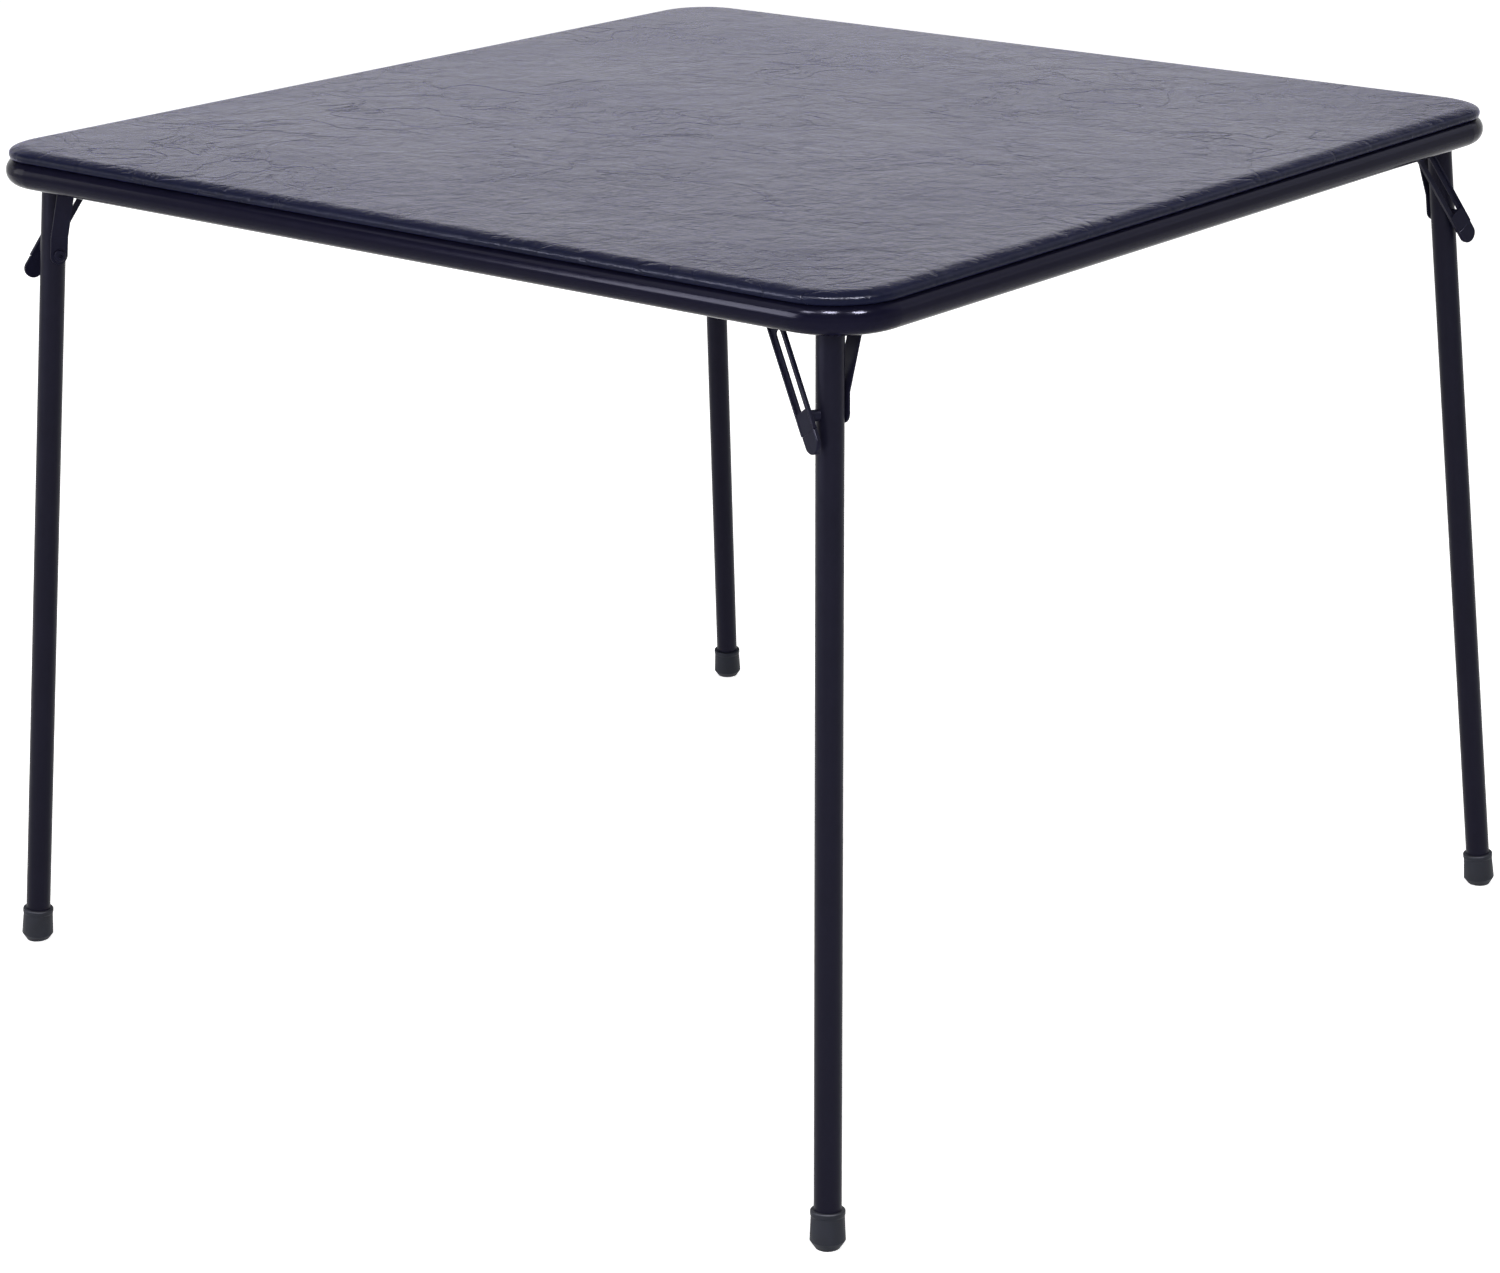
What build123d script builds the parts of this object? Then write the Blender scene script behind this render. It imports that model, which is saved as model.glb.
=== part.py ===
from build123d import *

import os
from math import asin, atan, atan2, cos, degrees, hypot, radians, sin, sqrt, tan

# Square folding card table, standing open on its four legs.
# Origin on the floor under the middle of the top, +Z up, the front side faces -Y.
# All lengths are millimetres, all angles are degrees.

# The table as a whole
top_side = 965
table_height = 753
corner_radius = 60

# The roll-formed steel rim: a half-round outside, a ledge on top and a lip below
rim_height = 23.6
rim_sheet = 1.2
rim_flat = 0.4
rim_ledge = 28
rim_lip = 15
rim_lip_upturn = 5

# The padded top that lies on the ledge
pad_inset = 3.5
pad_edge_run = 20
pad_seam_round = 2
vinyl_thickness = 0.8
vinyl_turn_under = 16
foam_thickness = 4.8
board_thickness = 3.2

# The screws that hold the board down on the ledge
screw_inset = 24
screw_spread_share = 0.27
screw_radius = 1.75
screw_bite = 2.6
screw_head_radius = 3.5
screw_head_height = 2.2
screw_head_round = 0.8

# The tube legs
leg_diameter = 22
leg_wall = 1.2
leg_above_axle = 8.5
leg_out_angle = 4.64
leg_back_angle = 2.95

# The hinge: where its axle stands, and how far its fold is turned in from the side
axle_from_corner = 52
axle_from_side = 41
hinge_turn_angle = 16
swing_clearance = 1
axle_radius = 3.175
axle_head_radius = 6
axle_head_height = 2
axle_head_round = 0.8
running_clearance = 0.05
side_clearance = 0.5

# The pressed bracket under the ledge, with an ear on each side of the leg
bracket_sheet = 2
bracket_inset = 15
bracket_behind_axle = 14
bracket_corner_round = 6
ear_radius = 9
rivet_radius = 2
rivet_head_radius = 3.5
rivet_head_height = 1.6
rivet_head_round = 0.8
rivet_inset = 21.5
rivet_from_corner = 62
rivet_spacing = 19
rivet_count = 3

# The bent strut on the inner side of each leg
strut_width = 16
strut_sheet = 1.8
strut_spread = 22.5
strut_foot_flat = 16
strut_head_flat = 12
spacer_radius = 5

# The stud through the leg, on which the link locks
stud_from_axle = 70.8
stud_radius = 3
stud_collar_radius = 4.5
stud_head_radius = 5.5
stud_head_height = 2.4
stud_head_round = 1.2
stud_bore_radius = 2
stud_bore_depth = 1.6
stud_end_gap = 0.3

# The slotted lock link on the outer side of each leg
link_pivot_from_axle = 46.5
link_offset = 20
link_width = 18
link_depth = 3.5
link_sheet = 1.5
link_below_stud = 12
slot_width = 7
slot_play = 4
lock_jog = 2.5
pivot_radius = 3
pivot_shoulder_radius = 5
pivot_head_radius = 5.5
pivot_head_height = 1.5
pivot_head_round = 0.6
pivot_end_play = 0.2

# The thumb grip on the link's lower end
grip_above_stud = 5
grip_sheet = 1.5
grip_below_stud = 29
grip_width = 17
grip_fit = 0.1
grip_gap = 0.3
grip_edge_round = 1

# The rubber foot
foot_sole_radius = 9.5
foot_wide_radius = 14.3
foot_neck_radius = 13.4
foot_lip_radius = 13.9
foot_chamfer_height = 7
foot_height = 32
foot_lip_height = 5
foot_lip_round = 1.2
foot_sole_thickness = 8

# One overrun for every cut that has to pass right through
overrun = 60

# Levels
rim_top = table_height - 2 * vinyl_thickness - foam_thickness - board_thickness
rim_bottom = rim_top - rim_height
rim_round = (rim_height - rim_flat) / 2
ledge_underside = rim_top - rim_sheet
board_bottom = rim_top + vinyl_thickness
board_top = board_bottom + board_thickness
plate_underside = ledge_underside - bracket_sheet
leg_radius = leg_diameter / 2
axle_level = plate_underside - hypot(leg_above_axle, leg_radius) - swing_clearance

# The leg's slant, split into a lean within the fold and a tilt of the axle
turn = radians(hinge_turn_angle)
slope_out = tan(radians(leg_out_angle))
slope_back = tan(radians(leg_back_angle))
leg_stretch = sqrt(1 + slope_out**2 + slope_back**2)
axle_tilt = atan(slope_out * cos(turn) - slope_back * sin(turn))
leg_lean = asin((slope_back * cos(turn) + slope_out * sin(turn)) / leg_stretch)
leg_slant = asin(hypot(slope_out, slope_back) / leg_stretch)

# The link's slant, from its pivot on the bracket down to the stud on the leg
pivot_to_stud_across = link_pivot_from_axle + stud_from_axle * sin(leg_lean)
pivot_to_stud_down = stud_from_axle * cos(leg_lean)
pivot_to_stud = hypot(pivot_to_stud_across, pivot_to_stud_down)
link_reach = sqrt(pivot_to_stud**2 - lock_jog**2)
link_lean = atan2(pivot_to_stud_across, pivot_to_stud_down) - asin(lock_jog / pivot_to_stud)
slot_upper = stud_from_axle - link_pivot_from_axle - slot_play

# Places across the hinge, measured from the leg's axis: outwards is negative
ear_offset = leg_radius + side_clearance
strut_head_back = strut_spread + strut_sheet / 2
strut_foot_back = leg_radius + strut_sheet
inner_ear_offset = strut_head_back + side_clearance
link_web_back = link_offset + link_sheet
link_flange_edge = link_offset + link_depth

# The foot's places down the leg, measured from the axle
sole_dip = foot_sole_radius * sin(leg_slant)
leg_reach = axle_level * leg_stretch + sole_dip
leg_tube_end = leg_reach - foot_sole_thickness

half_side = top_side / 2
corner_names = ["front_right", "front_left", "back_left", "back_right"]


def quarter_turned(x, y, z, quarter):
    """The same point or direction at the next corners round, clockwise from above."""
    return Vector(x, y, z).rotate(Axis.Z, -90 * quarter)


def level(height):
    """Horizontal plane at a height over the floor."""
    return Plane.XY.offset(height)


def square_outline(inset, mode=Mode.ADD):
    """Rounded square that follows the rim's outside at an inset."""
    RectangleRounded(top_side - 2 * inset, top_side - 2 * inset, corner_radius - inset, mode=mode)


def hinge_plane(quarter):
    """Plane at one axle: x where the leg folds to, y up, z in under the table."""
    return Plane(
        origin=quarter_turned(half_side - axle_from_corner, axle_from_side - half_side, axle_level, quarter),
        x_dir=quarter_turned(-cos(turn), sin(turn), 0, quarter),
        z_dir=quarter_turned(
            cos(axle_tilt) * sin(turn), cos(axle_tilt) * cos(turn), -sin(axle_tilt), quarter
        ),
    )


def turned_in_place(plane, origin, angle):
    """The same plane at another origin, turned about its own normal."""
    x_dir = plane.x_dir.rotate(Axis((0, 0, 0), plane.z_dir), degrees(angle))
    return Plane(origin=origin, x_dir=x_dir, z_dir=plane.z_dir)


def leg_plane(hinge):
    """The hinge plane turned so that y runs up the leg."""
    return turned_in_place(hinge, hinge.origin, -leg_lean)


def link_plane(hinge):
    """Plane at the link's pivot, turned so that y runs up the link."""
    pivot = hinge.from_local_coords(Vector(link_pivot_from_axle, 0, 0))
    return turned_in_place(hinge, pivot, -link_lean)


def ledge_rivet_points(quarter):
    """The rivets that fasten one bracket to the ledge."""
    return [
        quarter_turned(
            half_side - rivet_from_corner - number * rivet_spacing, rivet_inset - half_side, 0, quarter
        )
        for number in range(rivet_count)
    ]


def board_screw_points():
    """Two screws on each side, evenly off its middle."""
    spread = screw_spread_share * top_side
    return [
        quarter_turned(side * spread, screw_inset - half_side, 0, quarter)
        for quarter in range(len(corner_names))
        for side in (-1, 1)
    ]


def all_rivet_points():
    """Every bracket rivet, corner by corner."""
    return [point for quarter in range(len(corner_names)) for point in ledge_rivet_points(quarter)]


def rounded_block(inset, bottom, height, top_round, bottom_round):
    """Slab in the top's outline with its upper and lower edges rounded."""
    with BuildPart() as block:
        with BuildSketch(level(bottom)):
            square_outline(inset)
        extrude(amount=height)
        fillet(block.faces().sort_by(Axis.Z)[-1].edges(), radius=top_round)
        fillet(block.faces().sort_by(Axis.Z)[0].edges(), radius=bottom_round)
    return block.part


def rolled_edge(outline, run, drop):
    """What a soft edge lacks of a square one: the outside of a quarter ellipse, swept round the outline."""
    start = outline.position_at(0)
    along = outline.tangent_at(0)
    inwards = Vector(0, 0, 1).cross(along)
    if inwards.dot(start) > 0:
        inwards = -inwards
    section = Plane(origin=start, x_dir=inwards, z_dir=inwards.cross(Vector(0, 0, 1)))
    with BuildPart() as waste:
        with BuildSketch(section):
            with BuildLine():
                EllipticalCenterArc((run, -drop), run, drop, start_angle=90, arc_size=90)
                Polyline((run, 0), (run, drop), (-drop, drop), (-drop, -drop), (0, -drop))
            make_face()
        sweep(path=outline)
    return waste.part


def soft_block(inset, bottom, height, run, drop, bottom_round):
    """Slab in the top's outline whose upper edge rolls down softly."""
    with BuildPart() as block:
        with BuildSketch(level(bottom)):
            square_outline(inset)
        extrude(amount=height)
        if bottom_round:
            fillet(block.faces().sort_by(Axis.Z)[0].edges(), radius=bottom_round)
        top_edge = block.faces().sort_by(Axis.Z)[-1].outer_wire()
        add(rolled_edge(top_edge, run, drop), mode=Mode.SUBTRACT)
    return block.part


def headed_pin(plane, start, shanks, head_radius, head_height, head_round):
    """Stepped pin along a plane's normal: shanks as (radius, end), then a rounded head at the last end."""
    with BuildPart() as pin:
        here = start
        for radius, end in shanks:
            with BuildSketch(plane.offset(here)):
                Circle(radius)
            extrude(amount=end - here)
            here = end
        with BuildSketch(plane.offset(here)):
            Circle(head_radius)
        outwards = 1 if here > start else -1
        extrude(amount=outwards * head_height)
        crown = pin.edges().filter_by(GeomType.CIRCLE).sort_by(Axis(plane.origin, plane.z_dir))
        fillet(crown[-1] if outwards > 0 else crown[0], radius=head_round)
    return pin.part


# The rim

rim_outside = rounded_block(0, rim_bottom, rim_height, rim_round, rim_round)
rim_hollow = rounded_block(
    rim_sheet,
    rim_bottom + rim_sheet,
    rim_height - 2 * rim_sheet,
    rim_round - rim_sheet,
    rim_round - rim_sheet,
)

with BuildPart() as frame_rail:
    add(rim_outside)
    add(rim_hollow, mode=Mode.SUBTRACT)
    # The window under the board, and the open underside within the lip
    with BuildSketch(level(rim_top)):
        square_outline(rim_ledge)
    extrude(amount=-rim_height / 2, mode=Mode.SUBTRACT)
    with BuildSketch(level(rim_bottom)):
        square_outline(rim_lip)
    extrude(amount=rim_height / 2, mode=Mode.SUBTRACT)
    # The lip's edge is turned up
    with BuildSketch(level(rim_bottom)):
        square_outline(rim_lip - rim_sheet)
        square_outline(rim_lip, mode=Mode.SUBTRACT)
    extrude(amount=rim_lip_upturn)
    # Holes in the ledge for the bracket rivets and the board screws
    with BuildSketch(level(rim_top)):
        with Locations(*all_rivet_points()):
            Circle(rivet_radius)
        with Locations(*board_screw_points()):
            Circle(screw_radius)
    extrude(amount=-rim_height / 2, mode=Mode.SUBTRACT)

# The padded top

with BuildPart() as top_board:
    add(
        rounded_block(
            pad_inset + vinyl_thickness,
            board_bottom,
            board_thickness,
            running_clearance,
            pad_seam_round - vinyl_thickness,
        )
    )
    with BuildSketch(level(board_bottom)):
        with Locations(*board_screw_points()):
            Circle(screw_radius)
    extrude(amount=screw_bite, mode=Mode.SUBTRACT)

# The padding's upper edge rolls down over nearly all the foam's thickness
foam_drop = foam_thickness - running_clearance
foam_run = pad_edge_run - vinyl_thickness

with BuildPart() as foam_pad:
    add(soft_block(pad_inset + vinyl_thickness, board_top, foam_thickness, foam_run, foam_drop, 0))

vinyl_hollow = soft_block(
    pad_inset + vinyl_thickness,
    board_bottom,
    board_thickness + foam_thickness,
    foam_run,
    foam_drop,
    pad_seam_round - vinyl_thickness,
)

with BuildPart() as vinyl_cover:
    add(
        soft_block(
            pad_inset,
            rim_top,
            table_height - rim_top,
            pad_edge_run,
            foam_drop + vinyl_thickness,
            pad_seam_round,
        )
    )
    add(vinyl_hollow, mode=Mode.SUBTRACT)
    # The cover is turned under the board's edge and ends there
    with BuildSketch(level(rim_top)):
        square_outline(pad_inset + vinyl_turn_under)
    extrude(amount=board_thickness / 2, mode=Mode.SUBTRACT)

with BuildPart() as board_screws:
    for point in board_screw_points():
        screw_place = Plane(origin=point + Vector(0, 0, board_bottom + screw_bite), z_dir=(0, 0, 1))
        add(
            headed_pin(
                screw_place,
                0,
                [(screw_radius, ledge_underside - board_bottom - screw_bite)],
                screw_head_radius,
                screw_head_height,
                screw_head_round,
            )
        )

with BuildPart() as bracket_rivets:
    for point in all_rivet_points():
        rivet_place = Plane(origin=point + Vector(0, 0, rim_top), z_dir=(0, 0, 1))
        add(
            headed_pin(
                rivet_place,
                0,
                [(rivet_radius, plate_underside - rim_top)],
                rivet_head_radius,
                rivet_head_height,
                rivet_head_round,
            )
        )


# The hinge's fixed pieces


def make_hinge_bracket(hinge, quarter):
    """Plate under the ledge with two ears turned down, one on each side of the leg."""
    plate_run = bracket_behind_axle + link_pivot_from_axle + ear_radius
    plate_inner = inner_ear_offset + bracket_sheet
    plate_depth = plate_inner + overrun
    plate_plane = Plane(
        origin=(hinge.origin.X, hinge.origin.Y, plate_underside), x_dir=hinge.x_dir, z_dir=(0, 0, 1)
    )
    ear_rise = (ledge_underside - axle_level) / cos(axle_tilt) + bracket_sheet
    with BuildPart() as hinge_bracket:
        with BuildSketch(plate_plane):
            with Locations((plate_run / 2 - bracket_behind_axle, plate_depth / 2 - plate_inner)):
                RectangleRounded(plate_run, plate_depth, bracket_corner_round)
        extrude(amount=bracket_sheet)
        # The plate's outer edges follow the rim
        with BuildSketch(level(plate_underside)):
            square_outline(bracket_inset)
        extrude(amount=bracket_sheet, mode=Mode.INTERSECT)
        # The inner ear holds the axle
        with BuildSketch(hinge.offset(inner_ear_offset)):
            Circle(ear_radius)
            Rectangle(2 * ear_radius, ear_rise, align=(Align.CENTER, Align.MIN))
        extrude(amount=bracket_sheet)
        # The outer ear holds the axle and carries the link's pivot
        with BuildSketch(hinge.offset(-ear_offset)):
            with Locations((link_pivot_from_axle / 2, 0)):
                SlotCenterToCenter(link_pivot_from_axle, 2 * ear_radius)
                Rectangle(
                    link_pivot_from_axle + 2 * ear_radius, ear_rise, align=(Align.CENTER, Align.MIN)
                )
        extrude(amount=-bracket_sheet)
        split(bisect_by=level(ledge_underside), keep=Keep.BOTTOM)
        with BuildSketch(hinge):
            Circle(axle_radius)
        extrude(amount=overrun, both=True, mode=Mode.SUBTRACT)
        with BuildSketch(hinge.offset(-ear_offset)):
            with Locations((link_pivot_from_axle, 0)):
                Circle(pivot_radius)
        extrude(amount=-bracket_sheet, mode=Mode.SUBTRACT)
        with BuildSketch(level(plate_underside)):
            with Locations(*ledge_rivet_points(quarter)):
                Circle(rivet_radius)
        extrude(amount=bracket_sheet, mode=Mode.SUBTRACT)
    return hinge_bracket.part


def make_hinge_axle(hinge):
    """Axle through both ears, with a head outside each."""
    outer_head = -ear_offset - bracket_sheet
    return headed_pin(
        hinge,
        outer_head - axle_head_height,
        [(axle_head_radius, outer_head), (axle_radius, inner_ear_offset + bracket_sheet)],
        axle_head_radius,
        axle_head_height,
        axle_head_round,
    )


def make_link_pivot(hinge):
    """Shouldered pivot on the outer ear, which holds the link clear of the leg."""
    centre = hinge.from_local_coords(Vector(link_pivot_from_axle, 0, 0))
    place = Plane(origin=centre, x_dir=hinge.x_dir, z_dir=hinge.z_dir)
    return headed_pin(
        place,
        -ear_offset,
        [
            (pivot_radius, -ear_offset - bracket_sheet),
            (pivot_shoulder_radius, pivot_end_play - link_offset),
            (pivot_radius, -link_web_back - pivot_end_play),
        ],
        pivot_head_radius,
        pivot_head_height,
        pivot_head_round,
    )


# The leg's pieces, which swing together


def make_leg_tube(leg):
    """Steel tube, cross-drilled for the axle and for the lock stud."""
    tube_axis = Plane(origin=leg.origin, x_dir=leg.z_dir, z_dir=leg.y_dir)
    with BuildPart() as leg_tube:
        with BuildSketch(tube_axis.offset(leg_above_axle)):
            Circle(leg_radius)
            Circle(leg_radius - leg_wall, mode=Mode.SUBTRACT)
        extrude(amount=-leg_above_axle - leg_tube_end)
        with BuildSketch(leg):
            Circle(axle_radius + running_clearance)
            with Locations((0, -stud_from_axle)):
                Circle(stud_radius)
        extrude(amount=overrun, both=True, mode=Mode.SUBTRACT)
    return leg_tube.part


def make_leg_strut(leg):
    """Bent strip: flat on the leg at the stud, leaning out to the axle's inner end."""
    side_view = Plane(origin=leg.origin, x_dir=leg.z_dir, z_dir=-leg.x_dir)
    foot_end = -stud_from_axle - strut_width
    lower_bend = strut_foot_flat - stud_from_axle
    head_front = strut_head_back - strut_sheet
    face_line = [
        (leg_radius, foot_end),
        (leg_radius, lower_bend),
        (head_front, -strut_head_flat),
        (head_front, strut_width),
    ]
    back_line = [(across + strut_sheet, up) for across, up in reversed(face_line)]
    with BuildPart() as leg_strut:
        with BuildSketch(side_view):
            with BuildLine():
                Polyline(*face_line, *back_line, close=True)
            make_face()
        extrude(amount=strut_width / 2, both=True)
        with BuildSketch(leg):
            with Locations((0, -stud_from_axle / 2)):
                SlotCenterToCenter(stud_from_axle, strut_width, rotation=90)
        extrude(amount=overrun, mode=Mode.INTERSECT)
        with BuildSketch(leg):
            Circle(axle_radius + running_clearance)
            with Locations((0, -stud_from_axle)):
                Circle(stud_radius)
        extrude(amount=overrun, mode=Mode.SUBTRACT)
    return leg_strut.part


def make_axle_spacer(leg):
    """Sleeve on the axle between the leg and its strut."""
    with BuildPart() as axle_spacer:
        with BuildSketch(leg.offset(leg_radius)):
            Circle(spacer_radius)
            Circle(axle_radius + running_clearance, mode=Mode.SUBTRACT)
        extrude(amount=strut_spread - strut_sheet / 2 - leg_radius)
    return axle_spacer.part


def make_lock_stud(leg):
    """Semi-tubular stud through leg and strut; its collar ends just short of the link."""
    place = Plane(
        origin=leg.from_local_coords(Vector(0, -stud_from_axle, 0)), x_dir=leg.x_dir, z_dir=leg.z_dir
    )
    solid_stud = headed_pin(
        place,
        stud_end_gap - link_offset,
        [(stud_collar_radius, -leg_radius), (stud_radius, strut_foot_back)],
        stud_head_radius,
        stud_head_height,
        stud_head_round,
    )
    with BuildPart() as lock_stud:
        add(solid_stud)
        with BuildSketch(place.offset(strut_foot_back + stud_head_height)):
            Circle(stud_bore_radius)
        extrude(amount=-stud_bore_depth, mode=Mode.SUBTRACT)
    return lock_stud.part


def make_rubber_foot(leg):
    """Ferrule over the leg's end, cut flat where it stands on the floor."""
    base = -leg_reach
    with BuildPart() as rubber_foot:
        with BuildSketch(leg):
            with BuildLine():
                Polyline(
                    (0, base),
                    (foot_sole_radius, base),
                    (foot_wide_radius, base + foot_chamfer_height),
                    (foot_neck_radius, base + foot_height - foot_lip_height),
                    (foot_lip_radius, base + foot_height - foot_lip_height + foot_lip_round),
                    (foot_lip_radius, base + foot_height),
                    (leg_radius, base + foot_height),
                    (leg_radius, base + foot_sole_thickness),
                    (0, base + foot_sole_thickness),
                    close=True,
                )
            make_face()
        revolve(axis=Axis(leg.origin, leg.y_dir))
        lip_edge = rubber_foot.faces().sort_by(Axis(leg.origin, leg.y_dir))[-1].outer_wire().edges()
        fillet(lip_edge, radius=foot_lip_round)
        split(bisect_by=Plane.XY, keep=Keep.TOP)
    return rubber_foot.part


# The lock link's pieces


def make_lock_link(link):
    """Shallow channel with a long slot, which ends in a notch beside the stud's resting place."""
    link_length = link_reach + link_below_stud
    channel_width = link_width - 2 * link_sheet
    with BuildPart() as lock_link:
        with BuildSketch(link.offset(-link_flange_edge)):
            Circle(link_width / 2)
            Rectangle(link_width, link_length, align=(Align.CENTER, Align.MAX))
        extrude(amount=link_depth)
        with BuildSketch(link.offset(-link_flange_edge)):
            Circle(channel_width / 2)
            Rectangle(channel_width, link_length + overrun, align=(Align.CENTER, Align.MAX))
        extrude(amount=link_depth - link_sheet, mode=Mode.SUBTRACT)
        with BuildSketch(link.offset(-link_offset)):
            Circle(pivot_radius + running_clearance)
            with Locations((0, -(slot_upper + link_reach) / 2)):
                SlotCenterToCenter(link_reach - slot_upper, slot_width, rotation=90)
            with Locations((-lock_jog, -link_reach)):
                Circle(slot_width / 2)
                Rectangle(lock_jog, slot_width, align=(Align.MIN, Align.CENTER))
        extrude(amount=-link_sheet, mode=Mode.SUBTRACT)
    return lock_link.part


def make_link_grip(link):
    """Thumb grip: a tail that lies in the link's channel, and a rounded tongue below it."""
    tongue_top = -link_reach - link_below_stud - grip_gap
    tongue_centre = grip_width / 2 - link_reach - grip_below_stud
    tail_top = grip_above_stud - link_reach
    tail_width = link_width - 2 * link_sheet - 2 * grip_fit
    grip_radius = grip_width / 2
    tongue_side = [
        (-grip_radius, tongue_centre),
        (-grip_radius, tongue_top),
        (grip_radius, tongue_top),
        (grip_radius, tongue_centre),
    ]
    with BuildPart() as link_grip:
        with BuildSketch(link.offset(-link_flange_edge)):
            with BuildLine():
                Polyline(*tongue_side)
                ThreePointArc(tongue_side[-1], (0, tongue_centre - grip_radius), tongue_side[0])
            make_face()
        extrude(amount=link_depth)
        outer_face = link_grip.faces().sort_by(Axis(link.origin, link.z_dir))[0]
        fillet(outer_face.edges(), radius=grip_edge_round)
        with BuildSketch(link.offset(-link_web_back)):
            with Locations((0, tail_top)):
                Rectangle(tail_width, tail_top - tongue_centre, align=(Align.CENTER, Align.MAX))
        extrude(amount=-grip_sheet)
    return link_grip.part


# Write the pieces

os.makedirs("parts", exist_ok=True)


def write(part, name):
    """Label one piece and write it under its own name."""
    part.label = name
    export_step(part, "parts/" + name + ".step")


write(frame_rail.part, "frame_rail")
write(top_board.part, "top_board")
write(foam_pad.part, "foam_pad")
write(vinyl_cover.part, "vinyl_cover")
write(board_screws.part, "board_screws")
write(bracket_rivets.part, "bracket_rivets")

for quarter, corner in enumerate(corner_names):
    hinge = hinge_plane(quarter)
    leg = leg_plane(hinge)
    link = link_plane(hinge)
    write(make_hinge_bracket(hinge, quarter), "hinge_bracket_" + corner)
    write(make_hinge_axle(hinge), "hinge_axle_" + corner)
    write(make_link_pivot(hinge), "link_pivot_" + corner)
    write(make_leg_tube(leg), "leg_tube_" + corner)
    write(make_leg_strut(leg), "leg_strut_" + corner)
    write(make_axle_spacer(leg), "axle_spacer_" + corner)
    write(make_lock_stud(leg), "lock_stud_" + corner)
    write(make_rubber_foot(leg), "rubber_foot_" + corner)
    write(make_lock_link(link), "lock_link_" + corner)
    write(make_link_grip(link), "link_grip_" + corner)
    print("joint", corner, "axle", tuple(hinge.origin), "pivot", tuple(link.origin), "axis", tuple(hinge.z_dir))

leg_fold_angle = 90 + degrees(leg_lean)
link_swing_angle = 90 + degrees(link_lean)
print("leg folds by", leg_fold_angle, "link swings by", link_swing_angle)
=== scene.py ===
"""Looks of the folding card table: vinyl, enamelled steel, rubber, floor, light and camera."""

import math

import bmesh
import bpy
from mathutils import Matrix, Vector, noise


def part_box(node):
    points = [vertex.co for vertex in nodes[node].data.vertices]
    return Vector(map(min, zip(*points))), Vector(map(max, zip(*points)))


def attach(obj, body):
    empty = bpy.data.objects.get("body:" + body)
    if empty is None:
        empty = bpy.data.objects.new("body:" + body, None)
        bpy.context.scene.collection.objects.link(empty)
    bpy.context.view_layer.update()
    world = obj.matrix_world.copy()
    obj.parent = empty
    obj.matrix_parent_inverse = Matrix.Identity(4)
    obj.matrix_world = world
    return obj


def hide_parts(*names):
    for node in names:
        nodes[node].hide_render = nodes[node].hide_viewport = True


MM = 0.001
WHITE = (1.0, 1.0, 1.0)
CORNERS = ["front_right", "front_left", "back_left", "back_right"]

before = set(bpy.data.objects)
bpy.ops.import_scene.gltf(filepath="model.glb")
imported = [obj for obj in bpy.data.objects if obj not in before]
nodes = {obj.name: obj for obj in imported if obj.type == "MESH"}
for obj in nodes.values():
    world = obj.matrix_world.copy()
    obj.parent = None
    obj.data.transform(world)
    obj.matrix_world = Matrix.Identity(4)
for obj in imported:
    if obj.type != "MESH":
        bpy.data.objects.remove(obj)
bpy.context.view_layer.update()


# Shader trees


def linear(r, g, b):
    """Linear colour from 0-255 display values."""
    out = []
    for value in (r, g, b):
        share = value / 255
        out.append(share / 12.92 if share <= 0.04045 else ((share + 0.055) / 1.055) ** 2.4)
    return (*out, 1)


class Tree:
    """Short calls for the nodes of one shader tree."""

    def __init__(self, tree):
        self.tree = tree

    def node(self, kind, **inputs):
        made = self.tree.nodes.new("ShaderNode" + kind)
        for key, value in inputs.items():
            self.put(made, key, value)
        return made

    def put(self, made, key, value):
        """Set or link one socket: by its name with _ for a space, or by its number."""
        socket = made.inputs[key if isinstance(key, int) else key.replace("_", " ")]
        if isinstance(value, bpy.types.NodeSocket):
            self.tree.links.new(value, socket)
        else:
            socket.default_value = value

    def math(self, operation, a, b=0.0):
        made = self.node("Math")
        made.operation = operation
        self.put(made, 0, a)
        self.put(made, 1, b)
        return made.outputs[0]

    def span(self, value, low, high, to_low=0.0, to_high=1.0):
        """Value mapped from low..high to to_low..to_high, clamped."""
        made = self.node("MapRange")
        for key, item in enumerate((value, low, high, to_low, to_high)):
            self.put(made, key, item)
        return made.outputs[0]

    def background_rays(self):
        """The camera's rays, and 1 for every ray that shows the background."""
        path = self.node("LightPath")
        camera = path.outputs["Is Camera Ray"]
        shows = self.math("MAXIMUM", camera, path.outputs["Is Glossy Ray"])
        return camera, self.math("MAXIMUM", shows, path.outputs["Is Transmission Ray"])


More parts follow.
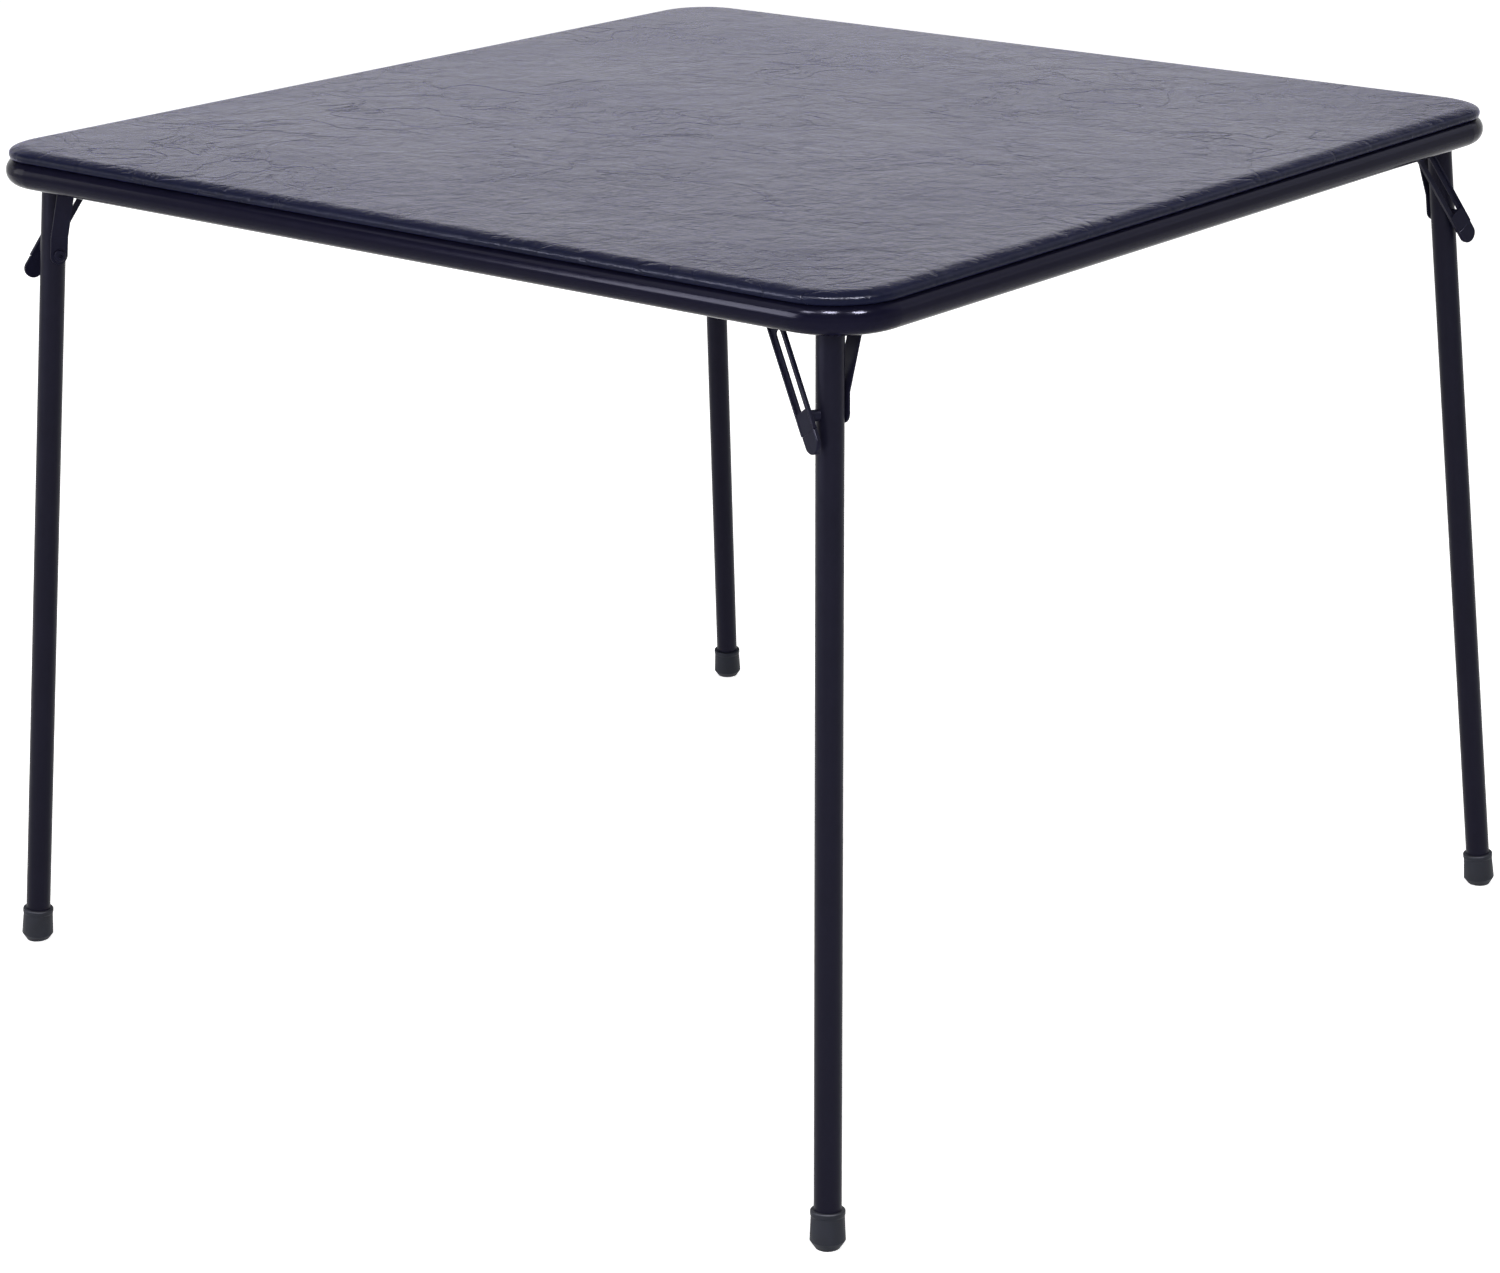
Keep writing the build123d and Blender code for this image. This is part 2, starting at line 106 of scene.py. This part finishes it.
class Shader(Tree):
    """A node material, with short calls for the patterns that the finishes use."""

    def __init__(self, name):
        self.material = bpy.data.materials.new(name)
        self.material.use_nodes = True
        super().__init__(self.material.node_tree)
        self.bsdf = self.tree.nodes["Principled BSDF"]
        self.coords = self.node("TexCoord").outputs["Object"]

    def set(self, **values):
        """Constants or patterns on the sockets of the surface shader."""
        for key, value in values.items():
            self.put(self.bsdf, key, value)
        return self

    def noise(self, scale, detail=4.0, roughness=0.55, distortion=0.0):
        return self.node(
            "TexNoise",
            Vector=self.coords,
            Scale=scale,
            Detail=detail,
            Roughness=roughness,
            Distortion=distortion,
        ).outputs["Fac"]

    def cells(self, scale, feature="F1", randomness=1.0):
        made = self.node("TexVoronoi")
        made.feature = feature
        self.put(made, "Vector", self.coords)
        self.put(made, "Scale", scale)
        self.put(made, "Randomness", randomness)
        return made.outputs["Distance"]

    def mix(self, share, a, b):
        """Colour between a and b."""
        made = self.node("Mix")
        made.data_type = "RGBA"
        for key, value in ((0, share), (6, a), (7, b)):
            self.put(made, key, value)
        return made.outputs[2]

    def bumps(self, *layers):
        """Bumps chained on one another, each a pattern with the depth of its full range."""
        normal = None
        for pattern, depth in layers:
            made = self.node("Bump", Strength=1.0, Distance=depth, Height=pattern)
            if normal is not None:
                self.put(made, "Normal", normal)
            normal = made.outputs[0]
        self.set(Normal=normal)


# Finishes

NOISE_RANGE = (0.3, 0.7)  # most values of a noise lie in it


def furrows(s, scale, width, patch_scale, least):
    """Bent furrows where a noise crosses its middle, deeper in some patches than in others."""
    field = s.noise(scale, 3.0, 0.45, 0.9)
    line = s.span(s.math("ABSOLUTE", s.math("SUBTRACT", field, 0.5)), 0.0, width, 1.0, 0.0)
    mask = s.span(s.noise(patch_scale, 2.0, 0.5), 0.35, 0.65, least, 1.0)
    return s.math("MULTIPLY", line, mask)


def vinyl_finish():
    """Navy vinyl with embossed leather grain, soft creases and a low sheen."""
    s = Shader("navy_vinyl").set(
        Specular_IOR_Level=0.06,
        Sheen_Weight=0.2,
        Sheen_Roughness=0.3,
        Sheen_Tint=(0.28, 0.24, 1.0, 1),
    )
    broad_waves = s.noise(7.0, 3.0, 0.5, 1.2)
    small_waves = s.noise(42.0, 3.0, 0.5, 0.6)
    long_creases = furrows(s, scale=13.0, width=0.022, patch_scale=5.0, least=0.0)
    short_creases = furrows(s, scale=34.0, width=0.05, patch_scale=8.0, least=0.3)
    # Grain: the larger lumps of the embossing, irregular pebbles, and fine pores
    lumps = s.noise(170.0, 4.0, 0.6, 0.4)
    pebbles = s.cells(480.0, "SMOOTH_F1")
    pores = s.noise(1500.0, 2.0, 0.6)
    s.bumps(
        (broad_waves, 1.6 * MM),
        (small_waves, 0.9 * MM),
        (long_creases, -0.34 * MM),
        (short_creases, -0.14 * MM),
        (lumps, 0.36 * MM),
        (pebbles, 0.13 * MM),
        (pores, 0.07 * MM),
    )
    patches = s.span(s.noise(3.0, 3.0, 0.5), 0.35, 0.65)
    tone = s.mix(patches, linear(20, 24, 46), linear(26, 29, 54))
    # Painted shade: the base colour darkens along the long creases, where shade falls in the
    # folds
    tone = s.mix(s.math("MULTIPLY", long_creases, 0.4), tone, linear(13, 16, 34))
    wear = s.span(s.noise(6.0, 4.0, 0.6), *NOISE_RANGE, 0.2, 0.25)
    dulled = s.math("MULTIPLY", s.math("ADD", long_creases, short_creases), 0.045)
    s.set(Base_Color=tone, Roughness=s.math("ADD", wear, dulled))
    return s.material


def enamel_finish(name, tones, roughness, peel, specular):
    """Navy-black stoved enamel: faint orange peel, faint dust in the gloss."""
    s = Shader(name).set(Specular_IOR_Level=specular, Specular_Tint=(0.92, 0.9, 1.0, 1))
    dust = s.noise(60.0, 6.0, 0.65)
    s.set(
        Base_Color=s.mix(s.noise(22.0, 3.0, 0.5), *tones),
        Roughness=s.span(dust, 0.35, 0.7, *roughness),
    )
    s.bumps((s.noise(95.0, 2.0, 0.5), peel * 3), (s.noise(420.0, 2.0, 0.5), peel))
    return s.material


def plated_finish():
    """Zinc-plated steel, dulled, with a fine uneven surface."""
    s = Shader("plated_steel").set(Metallic=1.0)
    s.set(
        Base_Color=s.mix(s.noise(160.0, 4.0, 0.6), linear(128, 130, 134), linear(172, 172, 170)),
        Roughness=s.span(s.noise(300.0, 4.0, 0.6), *NOISE_RANGE, 0.28, 0.48),
    )
    s.bumps((s.noise(900.0, 3.0, 0.6), 0.04 * MM))
    return s.material


def rubber_finish():
    """Matt blue-black rubber with a moulded bloom."""
    s = Shader("foot_rubber").set(Specular_IOR_Level=0.22)
    bloom = s.noise(38.0, 5.0, 0.6)
    s.set(
        Base_Color=s.mix(s.span(bloom, *NOISE_RANGE), linear(12, 15, 26), linear(19, 23, 36)),
        Roughness=s.span(bloom, *NOISE_RANGE, 0.5, 0.66),
    )
    s.bumps((s.noise(700.0, 3.0, 0.6), 0.08 * MM))
    return s.material


def board_finish():
    """Hardboard: pressed brown fibre with the screen's fine mesh on its underside."""
    s = Shader("board_wood").set(Specular_IOR_Level=0.3)
    fibre = s.noise(260.0, 8.0, 0.7, 0.6)
    blotch = s.noise(9.0, 3.0, 0.5)
    tone = s.mix(s.span(fibre, *NOISE_RANGE), linear(88, 58, 36), linear(124, 88, 58))
    tone = s.mix(s.math("MULTIPLY", s.span(blotch, 0.4, 0.65), 0.4), tone, linear(104, 74, 50))
    s.set(Base_Color=tone, Roughness=s.span(fibre, *NOISE_RANGE, 0.6, 0.8))
    s.bumps((s.cells(900.0, "F1", randomness=0.0), 0.18 * MM), (fibre, 0.12 * MM))
    return s.material


def dress(material, *node_names):
    for name in node_names:
        nodes[name].data.materials.clear()
        nodes[name].data.materials.append(material)


def of_each_corner(*stems):
    return [stem + "_" + corner for stem in stems for corner in CORNERS]


vinyl = vinyl_finish()
rim_enamel = enamel_finish(
    "rim_enamel",
    tones=(linear(21, 20, 39), linear(26, 25, 45)),
    roughness=(0.13, 0.18),
    peel=0.02 * MM,
    specular=0.045,
)
leg_enamel = enamel_finish(
    "leg_enamel",
    tones=(linear(21, 21, 35), linear(27, 26, 42)),
    roughness=(0.32, 0.42),
    peel=0.03 * MM,
    specular=0.08,
)
hardware_enamel = enamel_finish(
    "hardware_enamel",
    tones=(linear(25, 25, 42), linear(31, 31, 49)),
    roughness=(0.3, 0.4),
    peel=0.03 * MM,
    specular=0.06,
)
plated = plated_finish()
rubber = rubber_finish()
board = board_finish()

PRESSED = of_each_corner("hinge_bracket", "leg_strut", "lock_link", "link_grip")

dress(rim_enamel, "frame_rail")
dress(board, "top_board")
dress(plated, "board_screws", "bracket_rivets")
dress(plated, *of_each_corner("hinge_axle", "link_pivot", "axle_spacer"))
dress(leg_enamel, *of_each_corner("leg_tube"))
dress(hardware_enamel, *PRESSED, *of_each_corner("lock_stud"))
dress(rubber, *of_each_corner("rubber_foot"))


# The padded top

PAD_LOW, PAD_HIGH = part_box("vinyl_cover")
BOARD_LOW, BOARD_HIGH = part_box("top_board")
HALF = PAD_HIGH.x
PAD_RADIUS = 56.5 * MM
GRID = 132  # steps along each side
PAD_SKIM = 0.05 * MM  # how far the pad stays inside its CAD box
BOARD_GAP = 0.25 * MM
TURN_UNDER = 16 * MM  # how far in the vinyl's turned edge lies on the ledge
CROWN = 0.1 * MM
CROWN_RUN = 120 * MM
EDGE_ROUND = 4.2 * MM
EDGE_TURN = math.radians(70)
EDGE_RUN = 15.5 * MM
EDGE_STEPS = 12
SEAM_DEPTH = 2.6 * MM
SEAM_RISE = 2.6 * MM
SEAM_STEPS = 8
SAG = 0.35 * MM
SAG_SCALE = 5.0
SAG_LAYER = 3.1  # the slice of the noise that shapes the sags
SAG_OCTAVES = 3


def pad_outline(inset, per_side=GRID):
    """Points round the pad at an inset, as many on each side, with true corner arcs."""
    half = HALF - inset
    radius = max(PAD_RADIUS - inset, 0.0)
    straight = half - radius
    reach = straight + radius * math.pi / 4
    points = []
    for quarter in range(4):
        for step in range(per_side):
            along = (2 * step / per_side - 1) * reach
            if abs(along) <= straight or radius == 0.0:
                x, y = along, -half
            else:
                angle = (abs(along) - straight) / radius
                x = math.copysign(straight + radius * math.sin(angle), along)
                y = -straight - radius * math.cos(angle)
            for _ in range(quarter):
                x, y = -y, x
            points.append((x, y))
    return points


def sag(x, y):
    """How far the padding sinks at a place: slow unevenness of foam under vinyl."""
    place = Vector((x * SAG_SCALE, y * SAG_SCALE, SAG_LAYER))
    slow = noise.fractal(place, 1.0, 2.0, SAG_OCTAVES)
    return min(slow * SAG, 0.0)


def top_height(inset, x, y):
    """Level of the vinyl at an inset from the pad's outside."""
    share = min(max((inset - EDGE_RUN) / CROWN_RUN, 0.0), 1.0)
    return PAD_HIGH.z - PAD_SKIM - CROWN * (1 - share) ** 2 + sag(x, y) * share


def edge_profile():
    """Inset and level of each ring: round the board's edge, under it, up the side and over."""
    low = PAD_LOW.z + PAD_SKIM
    top = PAD_HIGH.z - PAD_SKIM - CROWN
    board_inset = HALF - BOARD_HIGH.x - BOARD_GAP
    under_board = BOARD_LOW.z - BOARD_GAP
    profile = [
        (board_inset, BOARD_HIGH.z + BOARD_GAP),
        (board_inset, under_board),
        (TURN_UNDER, under_board),
        (TURN_UNDER, low),
    ]
    for step in range(SEAM_STEPS):
        angle = math.radians(90 * step / SEAM_STEPS)
        rise = SEAM_RISE * (1 - math.cos(angle))
        profile.append((SEAM_DEPTH * (1 - math.sin(angle)), low + rise))
    # A tight round, then a slope that eases off into the flat
    slope = 1 / math.tan(EDGE_TURN)
    ease = EDGE_RUN - EDGE_ROUND * (1 - math.cos(EDGE_TURN))
    round_top = top - slope * ease / 2
    for step in range(EDGE_STEPS + 1):
        angle = EDGE_TURN * step / EDGE_STEPS
        rise = EDGE_ROUND * (math.sin(angle) - math.sin(EDGE_TURN))
        profile.append((EDGE_ROUND * (1 - math.cos(angle)), round_top + rise))
    for step in range(1, EDGE_STEPS + 1):
        left = 1 - step / EDGE_STEPS
        profile.append((EDGE_RUN - ease * left, top - slope * ease * left**2 / 2))
    return profile


def join_rings(mesh, outer, inner, per_side):
    """Faces between a ring and the next one in, which has two steps fewer on each side."""
    wide = per_side + 2
    for quarter in range(4):
        start = quarter * wide
        corner = outer[start]
        first = outer[(start + 1) % len(outer)]
        last = outer[start - 1]
        base = quarter * per_side
        mesh.faces.new((corner, first, inner[base], last))
        for step in range(per_side):
            a = outer[start + 1 + step]
            b = outer[(start + 2 + step) % len(outer)]
            c = inner[(base + step + 1) % len(inner)]
            d = inner[base + step]
            mesh.faces.new((a, b, c, d))


def add_object(name, mesh):
    """A new object from a bmesh, which is freed."""
    data = bpy.data.meshes.new(name)
    mesh.to_mesh(data)
    mesh.free()
    made = bpy.data.objects.new(name, data)
    bpy.context.scene.collection.objects.link(made)
    return made


def build_pad():
    """Closed form: crowned top, rolled edge, side, seam, and the vinyl turned under the board."""
    mesh = bmesh.new()
    rows = []
    for inset, z in edge_profile():
        rows.append([mesh.verts.new((x, y, z)) for x, y in pad_outline(inset)])
    count = len(rows[0])
    for lower, upper in zip(rows, rows[1:]):
        for k in range(count):
            n = (k + 1) % count
            mesh.faces.new((lower[k], lower[n], upper[n], upper[k]))
    # The top: nested rings, each with two steps fewer on a side, so that the faces stay even
    levels = GRID // 2
    previous = rows[-1]
    for level in range(1, levels + 1):
        per_side = GRID - 2 * level
        inset = EDGE_RUN + (HALF - EDGE_RUN) * (level / levels)
        places = pad_outline(inset, per_side) if per_side else [(0, 0)]
        ring = [mesh.verts.new((x, y, top_height(inset, x, y))) for x, y in places]
        join_rings(mesh, previous, ring, per_side)
        previous = ring
    # Underside of the foam, on the board
    mesh.faces.new(list(reversed(rows[0])))
    bmesh.ops.recalc_face_normals(mesh, faces=mesh.faces)
    made = add_object("padded_top", mesh)
    for face in made.data.polygons:
        face.use_smooth = True
    return made


pad = build_pad()
pad.data.materials.append(vinyl)
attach(pad, "top")
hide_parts("vinyl_cover", "foam_pad")


# Rounded edges of the pressed sheet

WELD_REACH = 0.01 * MM
SHEET_ROUND = 0.22 * MM
ROUND_STEPS = 2
SHARP_FROM = math.radians(40)

for name in PRESSED:
    weld = nodes[name].modifiers.new("weld", "WELD")
    weld.merge_threshold = WELD_REACH
    bevel = nodes[name].modifiers.new("edge", "BEVEL")
    bevel.width = SHEET_ROUND
    bevel.segments = ROUND_STEPS
    bevel.limit_method = "ANGLE"
    bevel.angle_limit = SHARP_FROM
    bevel.harden_normals = False


# Floor and backdrop

FLOOR_HALF = 30  # m
FLOOR_PARTS = 8
FLOOR_DROP = 0.2 * MM  # below the feet, so that no faces coincide
FLOOR_TONE = 0.88
FLOOR_GLOW = 0.85
HORIZON_TOP = 0.26  # upward part of the direction where the backdrop starts to darken
SKY_FROM = 0.36
SKY_LIGHT = 0.16
BACKDROP_LIGHT = 0.32  # what diffuse surfaces get from the backdrop
BACKDROP_SEEN = 1.0  # what the gloss sees of it


def build_floor():
    mesh = bmesh.new()
    bmesh.ops.create_grid(mesh, x_segments=FLOOR_PARTS, y_segments=FLOOR_PARTS, size=FLOOR_HALF)
    made = add_object("floor", mesh)
    shader = Shader("floor")
    shader.tree.nodes.remove(shader.bsdf)
    _, shows = shader.background_rays()
    matt = shader.node("BsdfDiffuse", Color=(FLOOR_TONE, FLOOR_TONE, FLOOR_TONE, 1))
    strength = shader.math("MULTIPLY", shows, FLOOR_GLOW)
    glow = shader.node("Emission", Color=(*WHITE, 1), Strength=strength)
    both = shader.node("AddShader")
    shader.put(both, 0, matt.outputs[0])
    shader.put(both, 1, glow.outputs[0])
    shader.put(shader.tree.nodes["Material Output"], "Surface", both.outputs[0])
    made.data.materials.append(shader.material)
    made.location.z = -FLOOR_DROP


def build_world():
    """A white backdrop round the horizon, darker above; the camera sees white all over."""
    world = bpy.data.worlds.new("studio")
    bpy.context.scene.world = world
    world.use_nodes = True
    tree = Tree(world.node_tree)
    camera, shows = tree.background_rays()
    direction = tree.node("SeparateXYZ", Vector=tree.node("TexCoord").outputs["Generated"])
    backdrop = tree.span(shows, 0.0, 1.0, BACKDROP_LIGHT, BACKDROP_SEEN)
    strength = tree.span(direction.outputs["Z"], HORIZON_TOP, SKY_FROM, backdrop, SKY_LIGHT)
    background = world.node_tree.nodes["Background"]
    tree.put(background, "Color", (*WHITE, 1))
    tree.put(background, "Strength", tree.math("MAXIMUM", strength, camera))


# Lamps

NEAR_CORNER = Vector((0.46, -0.46, 0.735))
WINDOW_DISTANCE = 2.6
WINDOW_COLOUR = (0.86, 0.87, 1.0)

# Name, place, target, size, power, colour, seen in gloss
LAMPS = [
    ("overhead", (-0.4, 0.8, 3.6), (0, 0, 0.7), (3.0, 3.0), 65, WHITE, False),
    ("behind", (-3.04, 3.48, 2.02), (0, 0, 0.75), (3.0, 0.8), 9.5, (0.97, 0.97, 1.0), True),
    ("left", (-3.2, -1.9, 1.6), (0, 0, 0.6), (1.4, 1.4), 20, WHITE, True),
    ("front", (2.4, -3.4, 2.2), (0, 0, 0.6), (2.4, 2.4), 80, WHITE, False),
]

# Name, direction from the near corner, size, radiance
WINDOWS = [
    ("window_left", (0.125, -0.407, 0.903), (0.6, 0.6), 290),
    ("window_right", (0.56, -0.073, 0.824), (0.6, 0.6), 290),
    ("window_mid", (-0.24, -0.57, 0.79), (0.55, 0.55), 80),
    ("window_side", (-0.56, -0.77, 0.27), (0.9, 1.2), 33),
    ("window_high", (-0.59, -0.35, 0.72), (1.3, 1.3), 2.6),
    ("window_back", (0.34, 0.77, 0.55), (1.9, 1.9), 1.4),
]


def build_lamp(name, place, target, size, power, colour, in_gloss=True):
    lamp = bpy.data.lights.new(name, "AREA")
    lamp.shape = "RECTANGLE"
    lamp.size, lamp.size_y = size
    lamp.energy = power
    lamp.color = colour
    made = bpy.data.objects.new(name, lamp)
    bpy.context.scene.collection.objects.link(made)
    made.location = place
    made.rotation_euler = (Vector(target) - Vector(place)).to_track_quat("-Z", "Y").to_euler()
    made.visible_camera = False
    made.visible_glossy = in_gloss
    return made


def build_window(name, direction, size, radiance):
    """A bright softbox for the gloss alone, seen from the near corner in this direction."""
    place = NEAR_CORNER + Vector(direction).normalized() * WINDOW_DISTANCE
    power = radiance * math.pi * size[0] * size[1]
    made = build_lamp(name, place, NEAR_CORNER, size, power, WINDOW_COLOUR)
    made.visible_diffuse = False


# Camera: the photograph's view, fitted to the rim's and legs' edges

AZIMUTH = math.radians(38.4454)
ELEVATION = math.radians(18.555)
ROLL = -0.00722
REFERENCE = Vector((0, 0, 0.44697))
SHIFTED_RIGHT = 0.064939
SHIFTED_DOWN = 0.164944
DISTANCE = 3.49755
LENS = 92.085
SENSOR = 36
SHIFT_X = -0.05603
CLIP_END = 200


def build_camera():
    level = math.cos(ELEVATION)
    back = Vector((math.sin(AZIMUTH) * level, -math.cos(AZIMUTH) * level, math.sin(ELEVATION)))
    right = Vector((math.cos(AZIMUTH), math.sin(AZIMUTH), 0))
    up = back.cross(right)
    across = right * math.cos(ROLL) + up * math.sin(ROLL)
    upwards = up * math.cos(ROLL) - right * math.sin(ROLL)
    place = REFERENCE + across * SHIFTED_RIGHT - upwards * SHIFTED_DOWN + back * DISTANCE
    camera = bpy.data.cameras.new("camera")
    camera.lens = LENS
    camera.sensor_width = SENSOR
    camera.shift_x = SHIFT_X
    camera.clip_end = CLIP_END
    made = bpy.data.objects.new("camera", camera)
    bpy.context.scene.collection.objects.link(made)
    turned = Matrix((across, upwards, back)).transposed().to_4x4()
    made.matrix_world = Matrix.Translation(place) @ turned
    bpy.context.scene.camera = made


build_floor()
build_world()
for lamp_row in LAMPS:
    build_lamp(*lamp_row)
for window_row in WINDOWS:
    build_window(*window_row)
build_camera()

bpy.context.scene.view_settings.view_transform = "Standard"
